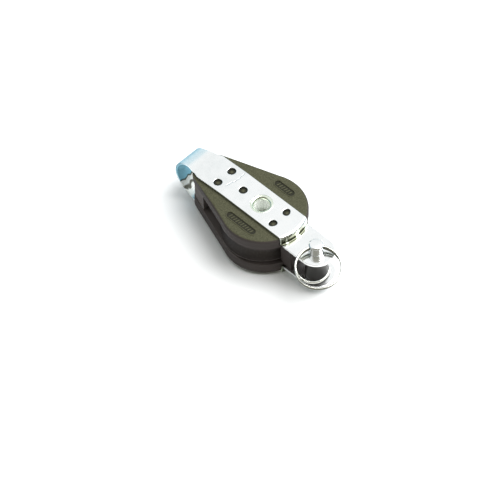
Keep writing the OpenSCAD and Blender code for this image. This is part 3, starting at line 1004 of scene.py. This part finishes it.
@dataclass
class Cheek:
    """One moulded cheek with its blocks, badges and the pegs that hold the strap."""

    side: Side
    finish: Nylon
    flank_deg: float = 18.7
    flank_in: float = 0.08
    side_out: float = 1.5
    side_drop: float = 1.6
    side_in: float = 0.3
    head_x: float = -45.5
    corner: float = 6.0
    notch_r: float = 23.2
    notch_y: float = 10.2
    notch_z: float = 8.4
    swallow_x: float = -32.5
    tail_x: float = 29.5
    tail_w: float = 17.0
    tail_room: float = 24.0
    bore_r: float = 5.24
    peg_r: float = 2.15
    peg_sunk: float = 0.7
    pocket_r: Point = (20.0, 13.6)
    pocket_depth: float = 3.5
    pocket_ribs: int = 8
    rib_t: float = 1.8
    bar: Spot = (0.75, 0.62, 0.3)
    bar_step: float = 1.75
    bar_slant: float = -18.0

    def flank(self, x: float, out: float) -> float:
        """Return the flank's half width at a place along the block, a step out from the flat face."""
        return ((SIZES.cheek_r - self.flank_in + out) / cosd(self.flank_deg)
                - (SIZES.cheek_x - x) * tand(self.flank_deg))

    def outline(self) -> list[Spot]:
        """Return the widest outline, counter-clockwise from the tail, with how far each point is rounded off.

        Returns:
            For each point its x, its y and a share: 1 on the rounded sides and 0 on the flat head end.
        """
        slope, out, corner = self.flank_deg, self.side_out, self.corner
        radius = SIZES.cheek_r + out
        notch = math.degrees(math.asin(self.notch_y / radius))
        angles = sorted({*spread(0.0, 90 + slope, 2.5), notch - 0.03, notch + 0.03})
        upper = [(SIZES.cheek_x + radius * cosd(a), radius * sind(a), 1.0) for a in angles]
        centre_x = self.head_x + corner
        centre_y = self.flank(centre_x, out) - corner / cosd(slope)
        flank = spread(upper[-1][0], centre_x - corner * sind(slope), 2.0)[1:-1]
        upper += [(x, self.flank(x, out), 1.0) for x in flank]
        turn = arc((centre_x, centre_y), corner, 90 + slope, 180, 12)
        upper += [(x, y, 1 - blend(0.0, 0.9, i / 12)) for i, (x, y) in enumerate(turn)]
        upper += [(self.head_x, y, 0.0) for y in spread(turn[-1][1], 0.0, 2.0)[1:]]
        return upper + [(x, -y, share) for x, y, share in reversed(upper[1:-1])]

    def column(self, spot: Spot, normal: Point) -> list[Spot]:
        """Return the points of the side below one point of the outline, from the flat face to the slot."""
        x, y, share = spot
        drop = self.side_drop * share + 0.5 * (1 - share)
        out = self.side_out * share + 0.5 * (1 - share)
        fall = SIZES.lean(x) * share
        top = SIZES.leg_in - SIZES.lean(x) * (1 - share)
        start = math.asin(max(0.15, 1 - fall / drop))
        notched = x > 0 and abs(y) < self.notch_y
        limit = self.side_out - (self.notch_r - SIZES.cheek_r) if notched else 0.0
        found = [(out * (1 - math.cos(start)) + 0.25, top - fall)]
        for i in range(8):
            angle = start * (1 - i / 7)
            height = top - drop * (1 - math.sin(angle))
            found.append((max(limit, out * (1 - math.cos(angle))), min(height, top - fall - 0.015 * (i + 1))))
        low, drawn = SIZES.slot_half, self.side_in * share
        found += [(max(limit, 0.08), self.notch_z + 0.05), (0.1, self.notch_z),
                  (drawn + 0.02, low + 0.25), (drawn + 0.27, low)]
        return [(x - normal[0] * d, y - normal[1] * d, h) for d, h in found]

    def shell(self, draft: Draft) -> None:
        """Add the cheek's own shell with its badges and bore."""
        spots = self.outline()
        columns = [self.column(s, n) for s, n in zip(spots, outward([s[:2] for s in spots]))]
        top, bottom = draft.tower([list(row) for row in zip(*columns)])
        face, low = SIZES.leg_in, SIZES.slot_half
        openings = []
        for badge in BADGES:
            section = [*badge.section, (badge.rim, -badge.depth)]
            first, last = draft.wall(badge.loop(), [(drawn, face + rise) for drawn, rise in section])
            draft.cap(last)
            openings.append(first)
        first, last = draft.wall(circle((0, 0), self.bore_r, 48), [(0, face), (0, low)])
        pockets = [draft.wall(loop, [(0, low), (0, low + self.pocket_depth)]) for loop in self.pockets()]
        for _, end in pockets:
            draft.cap(end)
        lattice = [(x, y) for x in (-SIZES.lean_start, -30.0, -38.0) for y in spread(-9.0, 9.0, 3.0)
                   if abs(y) < self.flank(x, 0) - 2]
        draft.cap(top, [*openings, first], lattice, face)
        draft.cap(bottom, [last, *(start for start, _ in pockets)])

    def pockets(self) -> list[list[Point]]:
        """Return the outlines of the pockets in the back, between their ribs."""
        half = 180 / self.pocket_ribs
        outer, inner = (half - math.degrees(math.asin(self.rib_t / 2 / r)) for r in self.pocket_r)
        return [arc((0, 0), self.pocket_r[0], a - outer, a + outer, 12)
                + arc((0, 0), self.pocket_r[1], a + inner, a - inner, 9)
                for a in (2 * half * i for i in range(self.pocket_ribs))]

    @staticmethod
    def slab(draft: Draft, loop: Sequence[Point], high: float, edge: float = 0.18) -> None:
        """Add an upright block from the middle to a height, with slightly broken edges."""
        for end in draft.wall(loop, [(edge, 0.0), (0.0, edge), (0.0, high - edge), (edge, high)]):
            draft.cap(end)

    def settle(self, spot: Spot) -> Spot:
        """Let the flat face lean in towards the head, and turn the lower cheek over."""
        x, y, z = spot
        if z > SIZES.leg_in - 1e-6:
            z -= SIZES.lean(x)
        return x, y, z * self.side.value

    def build(self) -> None:
        """Make the cheek with its head and tail blocks, its pegs and its badges' bars."""
        draft = Draft()
        self.shell(draft)
        inset = self.side_out - self.side_in - 0.6
        corner_x = self.head_x + 5.0
        corner = arc((corner_x, self.flank(corner_x, inset) - 5.2), 4.8, 100, 180, 10)
        upper = [(self.swallow_x, self.flank(self.swallow_x, inset)),
                 *((max(x, self.head_x + 0.15), min(y, self.flank(x, inset))) for x, y in corner)]
        self.slab(draft, upper + [(x, -y) for x, y in reversed(upper)], SIZES.slot_half + 0.4)
        half = self.tail_w / 2
        inner = [(math.sqrt(self.tail_room**2 - y**2), y) for y in spread(half, -half, 1.2)]
        self.slab(draft, [(self.tail_x, -half), (self.tail_x, half), *inner], self.notch_z - 0.05)
        name = self.side.name.lower()
        mount(draft.piece(f"{name}_cheek_moulding", self.finish.material(), self.settle),
              "frame", Slot.CHEEK, f"{name}_cheek")
        self.pegs(name)
        for number, badge in enumerate(BADGES, 1):
            self.bars(f"{name}_badge_bars_{number}", badge)

    def bars(self, name: str, badge: Badge) -> None:
        """Lay plain slanting bars in a badge, where the block in the photograph has raised relief."""
        clear = badge.width - 2 * badge.rim
        count = round((badge.length - badge.width - clear / 2) / self.bar_step) + 1
        tree = Pattern(name, {"Bars": count, "Step": self.bar_step * MM,
                              "Slant": math.radians(self.bar_slant), "Finish": self.finish.material()})
        start = tree.spot((badge.x - (count - 1) * self.bar_step / 2) * MM, badge.y * MM,
                          self.side.value * (SIZES.leg_in - badge.depth + 0.01) * MM)
        line = tree.make("MeshLine", {"Count": tree.term("Bars"), "Start Location": start,
                                      "Offset": tree.spot(tree.term("Step"), 0.0, 0.0)})
        wide, share, high = self.bar
        bar = tree.make("MeshCube", {"Size": (wide * MM, clear * share * MM, high * MM)})
        placed = tree.make("InstanceOnPoints", {0: line, "Instance": bar,
                                                "Rotation": tree.spot(0.0, 0.0, tree.term("Slant"))})
        mount(tree.run(name, placed, smooth=False), "frame", Slot.CHEEK)

    def pegs(self, name: str) -> None:
        """Set the five pegs that stand in the strap's small holes."""
        r, sign = self.peg_r, self.side.value
        profile = [(0, 0), (r - 0.5, 0), (r - 0.2, -0.06), (r - 0.05, -0.2), (r, -0.4), (r, -2.6), (0, -2.6)]
        pattern = Draft().lathe(profile, count=32).piece("peg", self.finish.material())
        tree = Pattern("peg_row", {"Peg": pattern, "Finish": pattern.data.materials[0],
                                   "Turn": math.pi if self.side is Side.LOWER else 0.0})
        source = tree.make("ObjectInfo", {"Object": tree.term("Peg")}, "Geometry")
        placed = tree.make("InstanceOnPoints", {0: tree.term("Geometry"), "Instance": source,
                                                "Rotation": tree.spot(tree.term("Turn"), 0.0, 0.0)})
        spots = [(x, y, sign * (SIZES.leg_out - self.peg_sunk - SIZES.lean(x))) for x, y in PEGS]
        piece = tree.run(f"{name}_cheek_pegs", placed, spots)
        bpy.data.objects.remove(pattern)
        mount(piece, "frame", Slot.CHEEK)


# --- axle, sheave and balls


@dataclass
class Axle:
    """The hollow axle, rolled outwards into the strap at both ends, and the race round it."""

    finish: Steel
    flare_depth: float = 1.3
    land: float = 0.6
    mouth: float = 2.0

    def build(self) -> None:
        """Make the tube and dress the race."""
        s = SIZES
        top, rim, width = s.leg_out, s.flare_r, s.flare_r - self.land - s.axle_bore_r
        half = [(s.axle_r, top - self.flare_depth), (rim, top - 0.16), (rim - 0.03, top - 0.08),
                (rim - 0.1, top - 0.02), (rim - 0.2, top)]
        half += [(s.axle_bore_r + width * (1 - cosd(a)), top - self.mouth * (1 - sind(a)))
                 for a in (90, 78, 66, 54, 42, 30, 18, 8, 0)]
        steel = self.finish.material()
        mount(Draft().lathe(mirrored(half)).piece("axle_tube_flared", steel), "frame", Slot.AXLE, "axle_tube")
        dress("inner_race", steel, Slot.AXLE)


@dataclass
class Sheave:
    """The grooved wheel with its two rows of balls."""

    finish: Acetal
    balls: Acetal
    radius: float = 23.0
    width: float = 12.4
    throat_r: float = 17.6
    groove_r: float = 5.3
    bore_r: float = 12.6
    rib_r: float = 10.0
    rib_half: float = 1.3
    face: tuple[Point, ...] = ((14.0, 0.0), (14.6, 0.6), (15.0, 0.8), (17.4, 0.8), (17.8, 0.6), (18.4, 0.0))
    ball_r: float = 1.55
    row_r: float = 11.0
    row_z: float = 3.0
    count: int = 20

    def wheel(self) -> None:
        """Turn the sheave."""
        half, rim, bore = self.width / 2, self.radius, self.bore_r
        centre = self.throat_r + self.groove_r
        edge = math.degrees(math.acos((centre - rim) / self.groove_r))
        upper = [(self.rib_r, self.rib_half), (bore, self.rib_half), (bore, half - 0.3), (bore + 0.3, half)]
        upper += [(radius, half - sunk) for radius, sunk in self.face]
        upper += [(rim - 0.4, half), (rim - 0.12, half - 0.1), (rim, half - 0.35)]
        groove = [(centre + self.groove_r * cosd(a), self.groove_r * sind(a))
                  for a in spread(180 - edge, 180.0, 5.0)]
        line = mirrored(upper + groove[:-1], groove[-1])
        plastic = self.finish.material()
        mount(Draft().lathe(line, count=128).piece("sheave_wheel", plastic), "wheel", Slot.SHEAVE, "sheave")
        for node in ("upper_ball_retainer", "lower_ball_retainer"):
            dress(node, plastic, Slot.SHEAVE)

    def row(self, name: str, body: str, height: float) -> None:
        """Set one row of balls round the race."""
        tree = Pattern(name + "_row", {
            "Balls": self.count, "Ball radius": self.ball_r * MM, "Row radius": self.row_r * MM,
            "Height": height * MM, "Finish": self.balls.material()})
        ring = tree.make("MeshCircle", {"Vertices": tree.term("Balls"), "Radius": tree.term("Row radius")})
        raised = tree.make("SetPosition", {0: ring, "Offset": tree.spot(0.0, 0.0, tree.term("Height"))})
        ball = tree.make("MeshUVSphere", {"Segments": 24, "Rings": 14, "Radius": tree.term("Ball radius")})
        placed = tree.make("InstanceOnPoints", {0: raised, "Instance": ball})
        mount(tree.run(name + "_balls", placed), body, Slot.BALL, name + "_ball_row")

    def build(self) -> None:
        """Make the wheel and both rows of balls."""
        self.wheel()
        self.row("upper", "upper_balls", self.row_z)
        self.row("lower", "lower_balls", -self.row_z)


# --- becket


@dataclass
class Becket:
    """The clevis pin through the ears and the bobbin that turns on it."""

    steel: Steel
    plastic: Acetal
    rise: float = 6.0
    chamfer: float = 0.6
    head_r: float = 5.6
    head_h: float = 1.8
    gap: float = 0.2
    cross_r: float = 1.85
    flare: float = 0.45
    flange_r: float = 6.8
    waist_r: float = 6.0
    flange_h: float = 1.6

    def pin(self) -> None:
        """Turn the pin and drill it for the ring."""
        r, chamfer, head = SIZES.pin_r, self.chamfer, self.head_r
        top, under = SIZES.ear_out + self.rise, -SIZES.ear_out - self.gap
        low = under - self.head_h
        line = [(0, top), (r - chamfer - 0.15, top), (r - chamfer, top - 0.04),
                (r - 0.05, top - chamfer + 0.02), (r, top - chamfer - 0.12), (r, under + 0.2),
                (r + 0.2, under), (head - 0.4, under), (head - 0.1, under - 0.12), (head, under - 0.4),
                (head, low + 0.5), (head - 0.15, low + 0.15), (head - 0.5, low), (0, low)]
        metal = self.steel.material()
        piece = Draft().lathe(line, (SIZES.ear_x, 0.0)).piece("becket_pin_drilled", metal)
        hole, mouth, wide = self.cross_r, self.cross_r + self.flare, self.cross_r + self.flare + 1.2
        drill = Draft().lathe([(0, -9), (wide, -9), (mouth, -r + 0.1), (hole, -r + 0.75), (hole, r - 0.75),
                               (mouth, r - 0.1), (wide, 9), (0, 9)], count=48)
        way = SIZES.ring_heading
        drill.spots = [(SIZES.ear_x + z * sind(way) + x * cosd(way), -z * cosd(way) + x * sind(way),
                        SIZES.hole_z + y) for x, y, z in drill.spots]
        cut(piece, drill.piece("drill", metal))
        mount(piece, "pin", Slot.STRAP, "becket_pin")

    def bobbin(self) -> None:
        """Turn the bobbin."""
        half, flange, edge = SIZES.ear_out - SIZES.strap_t - self.gap, self.flange_r, 0.3
        inner, bore = half - self.flange_h, SIZES.pin_r + 0.08
        upper = [(bore, half - edge), (bore + edge, half), (flange - edge, half),
                 (flange - 0.09, half - 0.09), (flange, half - edge)]
        curve = [(self.waist_r + (flange - self.waist_r) * (1 - i / 20) ** 2, inner * (1 - i / 20))
                 for i in range(21)]
        line = mirrored(upper + curve[:-1], curve[-1])
        piece = Draft().lathe(line, (SIZES.ear_x, 0.0)).piece("becket_bobbin_turned", self.plastic.material())
        mount(piece, "bobbin", Slot.BOBBIN, "becket_bobbin")

    def build(self) -> None:
        """Make the pin and the bobbin."""
        self.pin()
        self.bobbin()


@dataclass
class SplitRing:
    """Nearly two turns of wire through the pin, with a sprung inner end."""

    finish: Steel
    wire_r: float = 0.65
    pitch: float = 1.75
    sweep: float = 684.0
    free_angle: float = 76.0
    free_r: float = 6.1
    free_sweep: float = 175.0
    points: int = 420
    sides: int = 18

    def build(self) -> None:
        """Draw the wire along its own line, rounded at its ends."""
        tree = Pattern("split_ring_wire", {
            "Points": self.points, "Radius": SIZES.ring_r, "Free end radius": self.free_r,
            "Pitch": self.pitch, "Wire radius": self.wire_r * MM, "Finish": self.finish.material()})
        line = tree.make("MeshLine", {"Count": tree.term("Points")})
        run = tree.make("InputIndex") / (tree.term("Points") - 1)
        swept = run * self.sweep
        part = (swept / self.free_sweep).least(1.0)
        eased = part * part * (3 - part * 2)
        radius = tree.term("Radius") - (tree.term("Radius") - tree.term("Free end radius")) * (1 - eased)
        angle = (self.free_angle - swept) * (math.pi / 180)
        height = tree.term("Pitch") * (swept - (360 + self.free_angle)) * (-1 / 360)
        along = radius * angle.cos() + SIZES.ring_reach
        across = radius * angle.sin()
        place = [(along * ahead + across * aside + height * above + origin) * MM
                 for ahead, aside, above, origin in zip(*SIZES.ring_axes, SIZES.cross_hole)]
        moved = tree.make("SetPosition", {0: line, "Position": tree.spot(*place)})
        curve = tree.make("MeshToCurve", {0: moved})
        near_end = (run.least(1 - run) * (self.points / 2.2)).least(1.0)
        full = tree.math("SQRT", 1 - (1 - near_end) * (1 - near_end)) * 0.8 + 0.2
        sized = tree.make("SetCurveRadius", {0: curve, "Radius": full})
        section = tree.make("CurvePrimitiveCircle", {"Resolution": self.sides,
                                                     "Radius": tree.term("Wire radius")})
        tube = tree.node("GeometryNodeCurveToMesh", {0: sized, 1: section, "Fill Caps": True})
        if "Scale" in tube.inputs:
            tree.feed(tube.inputs["Scale"], full)
        mount(tree.run("split_ring_wire", Term(tree, tube.outputs[0])), "ring", Slot.WIRE, "split_ring")


# --- studio


@dataclass
class Studio:
    """The pale floor, the soft light and the camera at the photograph's place."""

    azimuth: float = 47.6
    elevation: float = 51.6
    roll: float = -3.3
    distance: float = 2.0
    lens: float = 266.7
    target: Point = (-6.75, -15.47)
    floor_z: float = -15.0
    near_side: Colour = (0.27, 0.265, 0.22)
    horizon: tuple[tuple[float, Colour], ...] = (
        (0.0, (0.04, 0.08, 0.11)), (0.18, (0.14, 0.25, 0.31)), (0.40, (0.44, 0.61, 0.68)),
        (0.62, (0.93, 0.95, 0.95)), (1.0, (1.0, 1.0, 1.0)))
    daylight: float = 1.02

    def camera(self) -> None:
        """Set the camera."""
        a, e, r = self.azimuth, self.elevation, self.roll
        back = Vector((sind(a) * cosd(e), -cosd(a) * cosd(e), sind(e)))
        right = Vector((cosd(a), sind(a), 0))
        up = back.cross(right)
        side, above = right * cosd(r) + up * sind(r), up * cosd(r) - right * sind(r)
        data = bpy.data.cameras.new("camera")
        data.lens, data.sensor_width = self.lens, 36
        data.clip_start, data.clip_end = 0.05, 20
        camera = stand("camera", data)
        spot = (side * self.target[0] + above * self.target[1]) * MM + back * self.distance
        camera.matrix_world = Matrix([*map(list, zip(side, above, back, spot)), [0, 0, 0, 1]])
        bpy.context.scene.camera = camera

    def floor(self) -> None:
        """Lay the floor."""
        shader = Shader("floor_paper", (0.86, 0.87, 0.88))
        shader.coat(shader.noise(60.0, 3.0), (0.90, 0.90, 0.90))
        reach, z = 3000.0, self.floor_z - 0.02
        corners = [(-reach, -reach, z), (reach, -reach, z), (reach, reach, z), (-reach, reach, z)]
        mesh = mesh_of("floor", corners, [(0, 1, 2, 3)])
        mesh.materials.append(shader.dress(roughness=0.8))
        floor = stand("floor", mesh)

    def lamp(self, name: str, spot: Spot, size: float, power: float) -> None:
        """Hang a soft square lamp that faces the block."""
        data = bpy.data.lights.new(name, "AREA")
        data.size, data.energy = size, power
        lamp = stand(name, data)
        lamp.location = spot
        lamp.rotation_mode = "QUATERNION"
        lamp.rotation_quaternion = (-Vector(spot)).to_track_quat("-Z", "Y")

    def sky(self) -> None:
        """Give the room a bright ceiling, a cool dark horizon and a dim side behind the camera."""
        world = bpy.data.worlds.new("room")
        world.use_nodes = True
        bpy.context.scene.world = world
        graph = Graph(world.node_tree)
        graph.tree.nodes.clear()
        x, y, z = graph.axes(graph.node("ShaderNodeTexCoord").outputs["Generated"])
        ramp = graph.node("ShaderNodeValToRGB", {0: z})
        elements = ramp.color_ramp.elements
        while len(elements) < len(self.horizon):
            elements.new(0.5)
        for element, (place, colour) in zip(elements, self.horizon):
            element.position = place
            element.color = (*colour, 1)
        toward = x * sind(self.azimuth) - y * cosd(self.azimuth)
        colour = graph.tint(toward.step(-0.05, 0.45), ramp.outputs[0], self.near_side)
        light = graph.node("ShaderNodeBackground", {"Color": colour, "Strength": self.daylight})
        graph.node("ShaderNodeOutputWorld", {0: light.outputs[0]})

    def build(self) -> None:
        """Set up the whole studio."""
        self.camera()
        self.floor()
        self.sky()
        self.lamp("ceiling_softbox", (0.55, 0.85, 1.7), 1.8, 60.0)
        bpy.context.scene.view_settings.view_transform = "Standard"


def main() -> None:
    """Build the block and the studio."""
    logging.basicConfig(level=logging.INFO, format="%(name)s: %(message)s")
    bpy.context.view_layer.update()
    Strap(StrapSteel("strap_steel")).build()
    nylon = Nylon("cheek_nylon")
    for side in Side:
        Cheek(side, nylon).build()
    Axle(AxleSteel("axle_steel", pale=(0.82, 0.88, 0.76), dull=(0.66, 0.72, 0.60), gloss=0.12)).build()
    black = Acetal("sheave_acetal", (0.070, 0.060, 0.057), (0.100, 0.090, 0.085))
    white = Acetal("ball_acetal", (0.84, 0.84, 0.81), (0.74, 0.74, 0.70), rough=0.2, gloss=0.3)
    Sheave(black, white).build()
    satin = Acetal("bobbin_acetal", (0.010, 0.009, 0.007), (0.022, 0.021, 0.017), SIZES.ear_x, 0.28)
    Becket(Steel("pin_steel", gloss=0.08), satin).build()
    wire = WireSteel("wire_steel", pale=(0.88, 0.88, 0.83), dull=(0.80, 0.80, 0.75), gloss=0.04, haze=0.04)
    SplitRing(wire).build()
    Studio().build()


if __name__ == "__main__":
    main()
